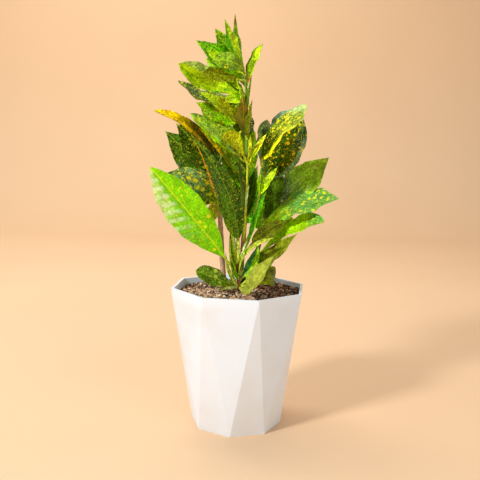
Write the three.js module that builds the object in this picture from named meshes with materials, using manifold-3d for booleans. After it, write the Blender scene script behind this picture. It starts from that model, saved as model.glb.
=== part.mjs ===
// A potted croton: a spotted, bushy house plant in an eight-sided faceted planter.
// Millimetres, +Z up. The origin is the middle of the pot's underside, and -Y is the front.

import * as THREE from 'three';
import { mergeVertices } from 'three/addons/utils/BufferGeometryUtils.js';
import Module from 'manifold-3d';

const wasm = await Module();
wasm.setup();

// Driving dimensions of the planter. The turns are the angles of its first corners, in degrees.
const POT_HEIGHT = 152;
const POT_SIDES = 8;
const RIM_RADIUS = 75;
const BASE_RADIUS = 50;
const RIM_TURN = 61;
const BASE_TURN = 38.5;
const WALL = 3.2;
const FLOOR = 5;

// Driving dimensions of the soil: its level at the middle, how much it domes up, its slope towards
// +X, and the height and spacing of its bark chips
const SOIL_TOP = 144.5;
const SOIL_MOUND = 2.5;
const SOIL_TILT = 0.025;
const CHIP_HEIGHT = 2.6;
const CHIP_STEP = 7;

// Clearance between pieces that rest against each other
const GAP = 0.3;

// Driving dimensions of the stems and leaves
const STEM_SIDES = 7;
const BLADE_THICKNESS = 0.8;
const STALK_RADIUS = 1.2;
const TIP_HALF_WIDTH = 0.6;
// A blade's outline is u^a (1-u)^b, from its base at u = 0 to its tip at u = 1, where a and b add up
// to the power. It is widest at the share `belly` of its length.
const BLADE_POWER = 2.05;
// Waves along each edge, their height as a share of the blade's width, and how far one edge's waves
// run ahead of the other's
const WAVES = 2.5;
const WAVE_SHARE = 0.05;
const WAVE_SHIFT = 0.6 * Math.PI;
// Shares of the blade over which the stalk's thickness dies out and the fold sets in
const STALK_FADE = 0.2;
const FOLD_START = 0.25;
// Widths above which a leaf gets finer facets
const NARROW_LEAF = 10;
const WIDE_LEAF = 30;

// Distances closer than these count as the same point
const WELD_DISTANCE = 1e-4;
const MERGE_TOLERANCE = 0.02;

const degrees = THREE.MathUtils.degToRad;

const LOOKS = {
  pot: { color: 0xf1efec, roughness: 0.55 },
  soil: { color: 0x6b4a33, roughness: 0.95 },
  bark: { color: 0x9a7358, roughness: 0.8 },
  leaf: { color: 0x4f7d1e, roughness: 0.4 },
  lime: { color: 0xb6cf3a, roughness: 0.4 },
};

// A stem is a list of points from its foot to its tip, with a radius at each end. Each green shoot
// stands on the top of its brown cane.
const CENTRE_TOP = 207;
const LEFT_TOP = 232;
const RIGHT_TOP = 205;
const STEMS = {
  centre_cane: {
    points: [[1.5, 10.5, 96], [1.5, 10.5, 143], [2, 9.5, 165], [4, 8, CENTRE_TOP]],
    radii: [3.4, 2.6],
  },
  left_cane: {
    points: [[-15, 17, 96], [-16, 16, 143], [-19, 14, 176], [-23, 14, LEFT_TOP]],
    radii: [3.4, 2.7],
  },
  right_cane: {
    points: [[14, 31, 96], [14, 30, 143], [19, 27, 180], [23, 25, RIGHT_TOP]],
    radii: [3.2, 2.5],
  },
  tall_shoot: {
    points: [[4, 8, CENTRE_TOP + GAP], [6, 7, 260], [4, 6, 316], [2, 4, 372], [-3, 3, 392]],
    radii: [2.6, 1.2],
  },
  left_shoot: {
    points: [[-23, 14, LEFT_TOP + GAP], [-22, 13, 262], [-19, 10, 296]],
    radii: [2.6, 1.6],
  },
  right_shoot: {
    points: [[23, 25, RIGHT_TOP + GAP], [24, 24, 250], [23, 22, 292]],
    radii: [2.4, 1.5],
  },
  front_shoot: {
    points: [[1, -6, 110], [1, -6, 143], [-2, -5, 180]],
    radii: [2.8, 1.8],
  },
  young_left: {
    points: [[4, 7, 200], [4.5, -4, 213], [5.5, -10, 246], [6, -16, 291]],
    radii: [1.4, 0.9],
  },
  young_right: {
    points: [[5, 7, 196], [11, -3, 212], [16, -5, 236], [20, -5, 256]],
    radii: [1.4, 0.9],
  },
};
const CANES = ['centre_cane', 'left_cane', 'right_cane'];
const YOUNG_SHOOTS = ['young_left', 'young_right'];

// Each leaf grows from its stem at the height `at` and ends at `tip`. `arch` raises its middle off
// the line from base to tip and `sway` pushes it sideways. `roll` turns the blade about its midrib,
// `fold` lifts its halves off flat, `skew` makes the left half wider than the right one, and `stalk`
// is the share of its length that is bare stalk. What a leaf doesn't state is as in USUAL_LEAF.
const USUAL_LEAF = { arch: 0, sway: 0, fold: 12, belly: 0.41, skew: 0, stalk: 0.15 };
const LEAVES = {
  tall_shoot: [
    { at: 378, tip: [-11, 6, 441], width: 15, arch: -5, roll: -20, fold: 22, stalk: 0.1 },
    { at: 385, tip: [-21, -14, 431], width: 20, arch: -4, roll: -75, fold: 15 },
    { at: 382, tip: [-32, 11, 426], width: 20, arch: -1, roll: -55, fold: 15, belly: 0.44 },
    { at: 381, tip: [-50, -16, 409], width: 30, arch: -2, roll: -65, stalk: 0.08 },
    { at: 372, tip: [-42, 16, 396], width: 26, arch: -3, roll: -50, fold: 15, stalk: 0.1 },
    {
      at: 355, tip: [-66, -30, 384], width: 26, arch: -1, sway: -15, roll: -98, fold: 22, belly: 0.6,
      skew: -0.2,
    },
    { at: 371, tip: [-42, -31, 374], width: 16, arch: 3, sway: -5, roll: -72, fold: 8, belly: 0.51 },
    { at: 336, tip: [-71, 17, 372], width: 31, arch: -6, sway: 3, roll: -20, fold: 15, belly: 0.55 },
    { at: 321, tip: [-46, -24, 357], width: 20, arch: 3, roll: -60, fold: 15 },
    { at: 353, tip: [-20, -26, 346], width: 14, arch: 3, roll: -60, fold: 15 },
    {
      at: 285, tip: [-54, -26, 335], width: 20, arch: -2, sway: 4, roll: -60, fold: 16, belly: 0.62,
      stalk: 0.2,
    },
    { at: 262, tip: [-44, -32, 320], width: 9, roll: -50, fold: 20, stalk: 0.2 },
    { at: 326, tip: [-51, 14, 349], width: 25, arch: -1, roll: -60, fold: 15 },
    { at: 274, tip: [-46, 4, 344], width: 28, arch: 2, roll: -70 },
    { at: 335, tip: [-8, -12, 372], width: 14, arch: -1, roll: -60 },
    { at: 366, tip: [19, 3, 410], width: 20, arch: 1, sway: 7, roll: 35, fold: 24, belly: 0.54, stalk: 0.1 },
    { at: 312, tip: [-1, -12, 358], width: 15, arch: -3, roll: 40, fold: 20, stalk: 0.1 },
    { at: 309, tip: [9, -4, 352], width: 15, arch: -2, roll: 40, fold: 20, stalk: 0.1 },
    { at: 339, tip: [8, -3, 378], width: 12, arch: -1, roll: 50, fold: 20, stalk: 0.1 },
    { at: 324, tip: [-8, -22, 280], width: 34, arch: -1, sway: -12, roll: -64, fold: 15, belly: 0.36 },
    { at: 214, tip: [-5, -10, 298], width: 17, roll: -50, fold: 15, stalk: 0.2 },
    { at: 218, tip: [17, 6, 284], width: 17, roll: 60, fold: 15 },
    { at: 212, tip: [21, 15, 266], width: 28, arch: 1, roll: 75, fold: 10 },
    { at: 224, tip: [2, 44, 286], width: 32, arch: 4, roll: 0 },
    { at: 246, tip: [-8, 34, 306], width: 30, arch: 4, roll: 0 },
    { at: 262, tip: [-2, 36, 322], width: 28, arch: 4, roll: 0 },
    { at: 284, tip: [-6, 42, 336], width: 28, arch: 5, roll: 0 },
    { at: 258, tip: [-23, 8, 306], width: 26, roll: -60 },
    { at: 352, tip: [-28, 12, 384], width: 16, roll: -50, fold: 15 },
    { at: 378, tip: [-39, -18, 399], width: 15, sway: 1, roll: -98, belly: 0.5, stalk: 0.1 },
    { at: 374, tip: [-32, -29, 388], width: 18, arch: 5, sway: 10, roll: -85, fold: 8, belly: 0.66 },
  ],
  left_shoot: [
    { at: 252, tip: [-90, -40, 336], width: 18, arch: 21, sway: 4, roll: -56, fold: 15, belly: 0.56 },
    { at: 246, tip: [-85, 22, 318], width: 38, arch: 4, roll: -85 },
    { at: 270, tip: [-72, 12, 326], width: 36, arch: 2, roll: -80 },
    { at: 235, tip: [-87, -9, 265], width: 44, arch: 8, sway: 20, roll: -98, fold: 22, belly: 0.51 },
    { at: 256, tip: [-36, 2, 213], width: 24, arch: -2, roll: 0 },
  ],
  right_shoot: [
    { at: 281, tip: [63, 1, 349], width: 50, sway: -34, roll: 50, fold: 4, belly: 0.58, skew: -0.4 },
    { at: 261, tip: [67, 30, 335], width: 41, arch: -1, sway: -15, roll: 56, fold: 20 },
    { at: 236, tip: [92, -4, 294], width: 41, arch: -3, sway: 18, roll: 77, fold: 19, belly: 0.45 },
    {
      at: 218, tip: [103, -16, 251], width: 47, arch: 8, sway: -2, roll: 35, fold: 2, belly: 0.49,
      skew: 0.06, stalk: 0.1,
    },
    { at: 216, tip: [46, 14, 283], width: 30, arch: 2, roll: 85 },
    { at: 207, tip: [63, 30, 222], width: 28, arch: 6, roll: 50, fold: 10 },
    { at: 262, tip: [26, 18, 333], width: 28, roll: 30, belly: 0.66 },
    { at: 207, tip: [11, 15, 242], width: 14, roll: 50 },
  ],
  front_shoot: [
    {
      at: 164, tip: [-94, -32, 280], width: 43, arch: 1, sway: 8, roll: -98, fold: 18, belly: 0.53,
      skew: 0.06, stalk: 0.19,
    },
    { at: 151, tip: [-46, -22, 172], width: 23, sway: 3, roll: -54, belly: 0.66, stalk: 0.1 },
    {
      at: 151, tip: [35, -38, 192], width: 23, arch: -16, sway: -16, roll: 66, fold: 20, belly: 0.66,
      skew: 0.34, stalk: 0.05,
    },
    {
      at: 150, tip: [40, 20, 156], width: 23, arch: 11, sway: -14, roll: 71, fold: 14, belly: 0.65,
      stalk: 0.1,
    },
    {
      at: 163, tip: [87, -26, 227], width: 26, arch: 10, sway: 18, roll: 30, fold: 22, belly: 0.66,
      skew: 0.35, stalk: 0.25,
    },
    {
      at: 169, tip: [57, 4, 226], width: 17, arch: 14, sway: -5, roll: 74, belly: 0.35, skew: -0.25,
      stalk: 0.4,
    },
    {
      at: 177, tip: [-53, -40, 315], width: 27, arch: 8, sway: 18, roll: -98, fold: 14, belly: 0.36,
      skew: 0.22, stalk: 0.2,
    },
    { at: 170, tip: [26, -20, 257], width: 10, roll: 60, fold: 20, stalk: 0.35 },
    { at: 173, tip: [-12, -16, 236], width: 6, roll: -60, fold: 20, stalk: 0.3 },
    { at: 179, tip: [-6, -18, 250], width: 6, roll: -60, fold: 20, stalk: 0.3 },
    { at: 152, tip: [61, -12, 213], width: 31, arch: -1, sway: 1, roll: 30, fold: 14 },
    { at: 153, tip: [36, -24, 209], width: 7, arch: 14, sway: -4, roll: 50, belly: 0.55 },
    { at: 149, tip: [-15, -4, 190], width: 4, arch: -4, roll: -60, stalk: 0.1 },
    { at: 150, tip: [-10, -14, 206], width: 7, arch: -6, roll: -60, fold: 20, stalk: 0.2 },
    { at: 158, tip: [20, -3, 199], width: 13, arch: -4, roll: 60 },
    { at: 163, tip: [9, -12, 207], width: 10, roll: 60, fold: 20, stalk: 0.2 },
    { at: 149, tip: [11, 0, 169], width: 8, roll: 60, fold: 15 },
    { at: 158, tip: [-8, -14, 182], width: 8, roll: -50, fold: 15 },
    { at: 150, tip: [-11, 2, 214], width: 13, roll: -30 },
    { at: 152, tip: [-19, -31, 153], width: 10, arch: 2, roll: -30 },
  ],
  young_left: [
    { at: 284, tip: [-8, -28, 314], width: 6, roll: -60, fold: 20, stalk: 0.1 },
    { at: 289, tip: [8, -26, 315], width: 6, roll: -60, fold: 20, stalk: 0.1 },
    { at: 286, tip: [25, -16, 317], width: 8, roll: 60, fold: 20, stalk: 0.1 },
    { at: 281, tip: [16, -30, 304], width: 6, roll: 60, fold: 20, stalk: 0.1 },
    { at: 238, tip: [8, -18, 263], width: 7, roll: 60, fold: 20, stalk: 0.1 },
  ],
  young_right: [
    { at: 251, tip: [21, -12, 284], width: 12, roll: 60, fold: 20, stalk: 0.1 },
    { at: 251, tip: [38, -10, 283], width: 11, roll: 60, fold: 20, stalk: 0.1 },
  ],
};

// Leaves on the far side, spread up each stem by a rule: heights, azimuths in degrees and lengths
// run from the first value to the second
const BACK_LEAVES = {
  tall_shoot: { count: 8, heights: [306, 374], azimuths: [100, 165], lengths: [72, 44], seed: 3 },
  left_shoot: { count: 5, heights: [236, 292], azimuths: [112, 160], lengths: [78, 62], seed: 5 },
  right_shoot: { count: 5, heights: [212, 286], azimuths: [45, 85], lengths: [78, 62], seed: 7 },
};
// What they share: how steeply they rise, the turn from one to the next, sizes as shares of their
// length, and how much the length, rise and roll vary at random
const BACK_RISE = 38;
const GOLDEN_TURN = 0.382;
const BACK_WIDTH_SHARE = 0.36;
const BACK_ARCH_SHARE = 0.06;
const BACK_FOLD = 14;
const BACK_STALK = 0.14;
const LENGTH_SPREAD = 0.2;
const RISE_SPREAD = 24;
const ROLL_SPREAD = 50;

// Seeded random numbers from 0 to 1
function randomSource(seed) {
  let state = seed;
  return () => {
    state = (Math.imul(state, 1664525) + 1013904223) >>> 0;
    return state / 2 ** 32;
  };
}

function toSolid(points, triangles) {
  const geometry = new THREE.BufferGeometry();
  geometry.setFromPoints(points);
  geometry.setIndex(triangles.flat());
  const merged = mergeVertices(geometry, WELD_DISTANCE);
  const mesh = new wasm.Mesh({
    numProp: 3,
    vertProperties: new Float32Array(merged.attributes.position.array),
    triVerts: new Uint32Array(merged.index.array),
  });
  return new wasm.Manifold(mesh);
}

function toMesh(name, solid, look) {
  const { vertProperties, triVerts } = solid.getMesh();
  const geometry = new THREE.BufferGeometry();
  geometry.setAttribute('position', new THREE.BufferAttribute(vertProperties, 3));
  geometry.setIndex(new THREE.BufferAttribute(triVerts, 1));
  geometry.computeVertexNormals();
  const mesh = new THREE.Mesh(geometry, new THREE.MeshStandardMaterial(look));
  mesh.name = name;
  return mesh;
}

// The planter's corners at one height, the first at `turn` degrees
function corners(radius, turn, z) {
  return Array.from({ length: POT_SIDES }, (_, k) => {
    const angle = degrees(turn + (k * 360) / POT_SIDES);
    return new THREE.Vector3(radius * Math.cos(angle), radius * Math.sin(angle), z);
  });
}

// The planter's outer form, shrunk inwards by `inset` and cut off at the heights `from` and `to`.
// Its lower and upper outlines are twisted by half a side, so that the wall is a row of triangles
// that point up and down in turn.
function planterForm(inset, from, to) {
  const radiusAt = (z) => BASE_RADIUS + ((RIM_RADIUS - BASE_RADIUS) * z) / POT_HEIGHT - inset;
  const lower = corners(radiusAt(from), BASE_TURN, from);
  const upper = corners(radiusAt(to), RIM_TURN, to);
  const n = POT_SIDES;
  const triangles = [];
  for (let k = 0; k < n; k++) {
    const next = (k + 1) % n;
    triangles.push([k, next, n + k]);
    triangles.push([next, n + next, n + k]);
  }
  for (let k = 1; k < n - 1; k++) {
    triangles.push([0, k + 1, k]);
    triangles.push([n, n + k, n + k + 1]);
  }
  return toSolid([...lower, ...upper], triangles);
}

// The space inside the planter, open past the rim
function planterInside(clearance) {
  return planterForm(WALL + clearance, FLOOR + clearance, POT_HEIGHT + 1);
}

function makePot() {
  return planterForm(0, 0, POT_HEIGHT).subtract(planterInside(0));
}

// Chunky potting mix: a domed surface whose grid points are raised and sunk at random as bark chips,
// cut to the inside of the planter and pierced where stems stand in it
function makeSoil() {
  const random = randomSource(11);
  const reach = RIM_RADIUS + CHIP_STEP;
  const count = Math.ceil((2 * reach) / CHIP_STEP);
  const points = [];
  for (const top of [false, true]) {
    for (let i = 0; i <= count; i++) {
      for (let j = 0; j <= count; j++) {
        const x = -reach + i * CHIP_STEP;
        const y = -reach + j * CHIP_STEP;
        const mound = SOIL_MOUND * (1 - (x * x + y * y) / RIM_RADIUS ** 2);
        const z = SOIL_TOP + mound + SOIL_TILT * x + CHIP_HEIGHT * (random() - 0.5);
        points.push(new THREE.Vector3(x, y, top ? z : 0));
      }
    }
  }
  const layer = (count + 1) ** 2;
  const at = (i, j, top) => i * (count + 1) + j + (top ? layer : 0);
  const quads = [];
  for (let i = 0; i < count; i++) {
    for (let j = 0; j < count; j++) {
      quads.push([at(i, j, true), at(i + 1, j, true), at(i + 1, j + 1, true), at(i, j + 1, true)]);
      quads.push([at(i, j + 1), at(i + 1, j + 1), at(i + 1, j), at(i, j)]);
    }
    quads.push([at(i, 0), at(i + 1, 0), at(i + 1, 0, true), at(i, 0, true)]);
    quads.push([at(i + 1, count), at(i, count), at(i, count, true), at(i + 1, count, true)]);
    quads.push([at(0, i + 1), at(0, i), at(0, i, true), at(0, i + 1, true)]);
    quads.push([at(count, i), at(count, i + 1), at(count, i + 1, true), at(count, i, true)]);
  }
  const triangles = quads.flatMap(([a, b, c, d]) => [[a, b, c], [a, c, d]]);
  const filling = toSolid(points, triangles).intersect(planterInside(GAP));
  const rooted = [...CANES, 'front_shoot'].map((name) => makeStem(STEMS[name], GAP));
  return filling.subtract(wasm.Manifold.union(rooted));
}

// The point of a stem at the height z
function stemPoint(stem, z) {
  const { points } = stem;
  let k = 0;
  while (k < points.length - 2 && points[k + 1][2] < z) k += 1;
  const low = new THREE.Vector3(...points[k]);
  const high = new THREE.Vector3(...points[k + 1]);
  return low.lerp(high, (z - low.z) / (high.z - low.z));
}

// A tapered tube through the stem's points, made thicker and longer by `grow`
function makeStem(stem, grow = 0) {
  const { points, radii } = stem;
  const foot = points[0][2];
  const tip = points[points.length - 1][2];
  const rings = points.map(([x, y, z]) => {
    const radius = radii[0] + ((radii[1] - radii[0]) * (z - foot)) / (tip - foot) + grow;
    const end = z === foot ? -grow : z === tip ? grow : 0;
    return Array.from({ length: STEM_SIDES }, (_, k) => {
      const angle = (2 * Math.PI * k) / STEM_SIDES;
      return new THREE.Vector3(x + radius * Math.cos(angle), y + radius * Math.sin(angle), z + end);
    });
  });
  const triangles = [];
  for (let i = 0; i < rings.length - 1; i++) {
    for (let k = 0; k < STEM_SIDES; k++) {
      const a = i * STEM_SIDES + k;
      const b = i * STEM_SIDES + ((k + 1) % STEM_SIDES);
      triangles.push([a, b, b + STEM_SIDES], [a, b + STEM_SIDES, a + STEM_SIDES]);
    }
  }
  const last = (rings.length - 1) * STEM_SIDES;
  for (let k = 1; k < STEM_SIDES - 1; k++) {
    triangles.push([0, k + 1, k], [last, last + k, last + k + 1]);
  }
  return toSolid(rings.flat(), triangles);
}

// Half-width of a blade at the share u of its length, as a share of the widest
function bladeOutline(u, belly) {
  const a = BLADE_POWER * belly;
  const b = BLADE_POWER - a;
  const widest = (a / (a + b)) ** a * (b / (a + b)) ** b;
  return (u ** a * (1 - u) ** b) / widest;
}

// One leaf: a stalk and a folded, arched blade with waved edges, cut into triangles alike on both faces
function makeLeaf(stem, leaf) {
  const { at, width, arch, sway, roll, fold, belly, skew, stalk } = { ...USUAL_LEAF, ...leaf };
  const base = stemPoint(stem, at);
  const chord = new THREE.Vector3(...leaf.tip).sub(base);
  const left = new THREE.Vector3(-chord.y, chord.x, 0).normalize();
  const face = chord.clone().cross(left).normalize();
  const bow = face.multiplyScalar(arch).addScaledVector(left, sway);
  const steps = width > WIDE_LEAF ? 8 : width > NARROW_LEAF ? 6 : 4;
  const across = width > WIDE_LEAF ? 5 : 3;
  const stations = [0];
  for (let i = 0; i <= steps; i++) stations.push(stalk + ((1 - stalk) * i) / steps);
  const upper = [];
  const lower = [];
  for (const s of stations) {
    const midrib = base.clone().addScaledVector(chord, s).addScaledVector(bow, 4 * s * (1 - s));
    const along = chord.clone().addScaledVector(bow, 4 - 8 * s).normalize();
    const level = left.clone().addScaledVector(along, -left.dot(along)).normalize();
    const side = level.applyAxisAngle(along, degrees(roll));
    const normal = along.clone().cross(side);
    const u = THREE.MathUtils.clamp((s - stalk) / (1 - stalk), 0, 1);
    const outline = bladeOutline(u, belly);
    const stalkHalf = STALK_RADIUS * (1 - u);
    const half = Math.max(TIP_HALF_WIDTH, stalkHalf + (width / 2 - stalkHalf) * outline);
    const swell = (2 * STALK_RADIUS - BLADE_THICKNESS) * Math.max(0, 1 - u / STALK_FADE);
    const thickness = BLADE_THICKNESS + swell;
    const foldNow = degrees(fold * Math.min(1, u / FOLD_START));
    for (let j = 0; j < across; j++) {
      const t = (2 * j) / (across - 1) - 1;
      const phase = 2 * Math.PI * WAVES * u + (t > 0 ? WAVE_SHIFT : 0);
      const wave = WAVE_SHARE * width * t * t * outline * Math.sin(phase);
      const reach = half * t * (1 + skew * Math.sign(t));
      const lift = Math.abs(reach) * Math.sin(foldNow) + wave;
      const point = midrib.clone().addScaledVector(side, reach * Math.cos(foldNow));
      upper.push(point.clone().addScaledVector(normal, lift + thickness / 2));
      lower.push(point.addScaledVector(normal, lift - thickness / 2));
    }
  }
  const size = upper.length;
  const triangles = [];
  const addQuad = (a, b, c, d) => triangles.push([a, b, c], [a, c, d]);
  for (let i = 0; i < stations.length - 1; i++) {
    const row = i * across;
    for (let j = 0; j < across - 1; j++) {
      const a = row + j;
      const [b, c, d] = [a + across, a + across + 1, a + 1];
      const cut = j < (across - 1) / 2 ? [[a, b, d], [b, c, d]] : [[a, b, c], [a, c, d]];
      for (const [p, q, r] of cut) triangles.push([p, q, r], [p + size, r + size, q + size]);
    }
    const right = row + across - 1;
    addQuad(right, right + across, right + across + size, right + size);
    addQuad(row, row + size, row + across + size, row + across);
  }
  const end = size - across;
  for (let j = 0; j < across - 1; j++) {
    addQuad(j, j + 1, j + 1 + size, j + size);
    addQuad(end + j, end + j + size, end + j + 1 + size, end + j + 1);
  }
  return toSolid([...upper, ...lower], triangles);
}

// A stem's leaves on the far side, as rows like those of LEAVES
function backLeaves(name) {
  if (!(name in BACK_LEAVES)) return [];
  const { count, heights, azimuths, lengths, seed } = BACK_LEAVES[name];
  const random = randomSource(seed);
  const lerp = THREE.MathUtils.lerp;
  return Array.from({ length: count }, (_, k) => {
    const share = k / (count - 1);
    const at = lerp(...heights, share);
    const azimuth = degrees(lerp(...azimuths, (k * GOLDEN_TURN) % 1));
    const length = lerp(...lengths, share) * (1 + LENGTH_SPREAD * (random() - 0.5));
    const rise = degrees(BACK_RISE + RISE_SPREAD * (random() - 0.5));
    const roll = ROLL_SPREAD * (random() - 0.5);
    const base = stemPoint(STEMS[name], at);
    const out = length * Math.cos(rise);
    const tip = [
      base.x + out * Math.cos(azimuth),
      base.y + out * Math.sin(azimuth),
      base.z + length * Math.sin(rise),
    ];
    const width = BACK_WIDTH_SHARE * length;
    const arch = BACK_ARCH_SHARE * length;
    return { at, tip, width, arch, roll, fold: BACK_FOLD, stalk: BACK_STALK };
  });
}

// A leafy stem with its leaves grown into one body
function makeShoot(name) {
  const stem = STEMS[name];
  const leaves = [...LEAVES[name], ...backLeaves(name)].map((leaf) => makeLeaf(stem, leaf));
  return wasm.Manifold.union([makeStem(stem), ...leaves]).asOriginal().simplify(MERGE_TOLERANCE);
}

const plant = new THREE.Group();
plant.add(toMesh('pot', makePot(), LOOKS.pot));
plant.add(toMesh('soil', makeSoil(), LOOKS.soil));
for (const name of CANES) {
  plant.add(toMesh(name, makeStem(STEMS[name]), LOOKS.bark));
}
for (const name of Object.keys(LEAVES)) {
  const young = YOUNG_SHOOTS.includes(name);
  const shoot = makeShoot(name);
  const solid = young ? shoot.subtract(makeStem(STEMS.centre_cane, GAP)) : shoot;
  plant.add(toMesh(name, solid, young ? LOOKS.lime : LOOKS.leaf));
}

export default plant;
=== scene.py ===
import itertools
import math
import random

import bmesh
import bpy
import numpy as np
from mathutils import Matrix, Vector, noise


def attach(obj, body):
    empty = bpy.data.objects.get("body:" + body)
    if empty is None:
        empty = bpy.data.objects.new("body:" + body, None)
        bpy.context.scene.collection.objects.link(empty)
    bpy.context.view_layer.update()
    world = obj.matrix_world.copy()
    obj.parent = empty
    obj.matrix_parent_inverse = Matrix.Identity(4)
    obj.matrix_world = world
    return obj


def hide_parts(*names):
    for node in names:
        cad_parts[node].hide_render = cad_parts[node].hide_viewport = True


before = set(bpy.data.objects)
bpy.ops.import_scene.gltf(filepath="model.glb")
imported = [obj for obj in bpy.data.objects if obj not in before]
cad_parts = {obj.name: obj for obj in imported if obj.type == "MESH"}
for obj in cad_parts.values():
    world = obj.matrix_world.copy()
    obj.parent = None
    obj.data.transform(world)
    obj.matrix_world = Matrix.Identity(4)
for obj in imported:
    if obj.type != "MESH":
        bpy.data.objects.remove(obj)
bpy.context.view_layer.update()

MM = 0.001

# The colours of the plant, as sRGB
PALETTE = {
    "night": "#0b1202", "deep": "#1a2a03", "dark": "#2f4c05", "forest": "#446e06", "moss": "#587a0c",
    "leaf": "#82ae20", "green": "#4c8c06", "grass": "#66b004", "vivid": "#46b008", "fresh": "#7cc804",
    "bright": "#a2d806", "lime": "#c4e816", "acid": "#e4e41a", "straw": "#b9c03a", "pale": "#dcec98",
    "celery": "#bcdc6c", "cream": "#f2f2bc", "olive": "#78800a", "khaki": "#a8a812", "bronze": "#5c5606",
    "jade": "#5c9c38", "sea": "#4c9a48", "sage": "#648c50", "slate": "#4a5c40", "mint": "#9ccc84",
    "sand": "#d8cf70", "yellow": "#f6e81c", "gold": "#ffd400", "orange": "#dc9010", "brown": "#824a08",
    "maroon": "#4c1e08", "stalk": "#c0cc40", "underside": "#8cae2c",
}

# Where each brown cane ends, and the clearance to the green shoot above it
CENTRE_TOP = 207
LEFT_TOP = 232
RIGHT_TOP = 205
GAP = 0.3

# A stem is a list of points from its foot to its tip, with a radius at each end
STEMS = {
    "centre_cane": ([(1.5, 10.5, 96), (1.5, 10.5, 143), (2, 9.5, 165), (4, 8, CENTRE_TOP)], (3.4, 2.6)),
    "left_cane": ([(-15, 17, 96), (-16, 16, 143), (-19, 14, 176), (-23, 14, LEFT_TOP)], (3.4, 2.7)),
    "right_cane": ([(14, 31, 96), (14, 30, 143), (19, 27, 180), (23, 25, RIGHT_TOP)], (3.2, 2.5)),
    "tall_shoot": (
        [(4, 8, CENTRE_TOP + GAP), (6, 7, 260), (4, 6, 316), (2, 4, 372), (-3, 3, 392)],
        (2.6, 1.2),
    ),
    "left_shoot": ([(-23, 14, LEFT_TOP + GAP), (-22, 13, 262), (-19, 10, 296)], (2.6, 1.6)),
    "right_shoot": ([(23, 25, RIGHT_TOP + GAP), (24, 24, 250), (23, 22, 292)], (2.4, 1.5)),
    "front_shoot": ([(1, -6, 110), (1, -6, 143), (-2, -5, 180)], (2.8, 1.8)),
    "young_left": ([(4, 7, 200), (4.5, -4, 213), (5.5, -10, 246), (6, -16, 291)], (1.4, 0.9)),
    "young_right": ([(5, 7, 196), (11, -3, 212), (16, -5, 236), (20, -5, 256)], (1.4, 0.9)),
}
STEM_COLOURS = {
    "tall_shoot": "leaf", "left_shoot": "olive", "right_shoot": "bright", "front_shoot": "brown",
    "young_left": "acid", "young_right": "straw",
}
CANES = ("centre_cane", "left_cane", "right_cane")


def leaf(at, tip, width, arch, roll, fold, stalk, tint, shade=1, sway=0, belly=0.41, skew=0, **look):
    """One leaf's form and look.

    It grows from its stem at the height at, to its tip. Arch and sway bow its midrib up and sideways,
    roll turns it about its midrib, fold raises its halves by so many degrees, and stalk is the share of
    its length without a blade. Belly is where it is widest, and skew makes one half wider. Its look is
    the name of its tint, the shade that multiplies it, and the parts that leaf_colours describes. The
    shade is partly painted light and shade: it brightens a leaf that stands in light and darkens one
    in shade. Left and right are seen from the front, going from its base to its tip.
    """
    return dict(at=at, tip=tip, width=width, arch=arch, roll=roll, fold=fold, stalk=stalk, tint=tint,
                shade=shade, sway=sway, belly=belly, skew=skew, **look)


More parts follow.
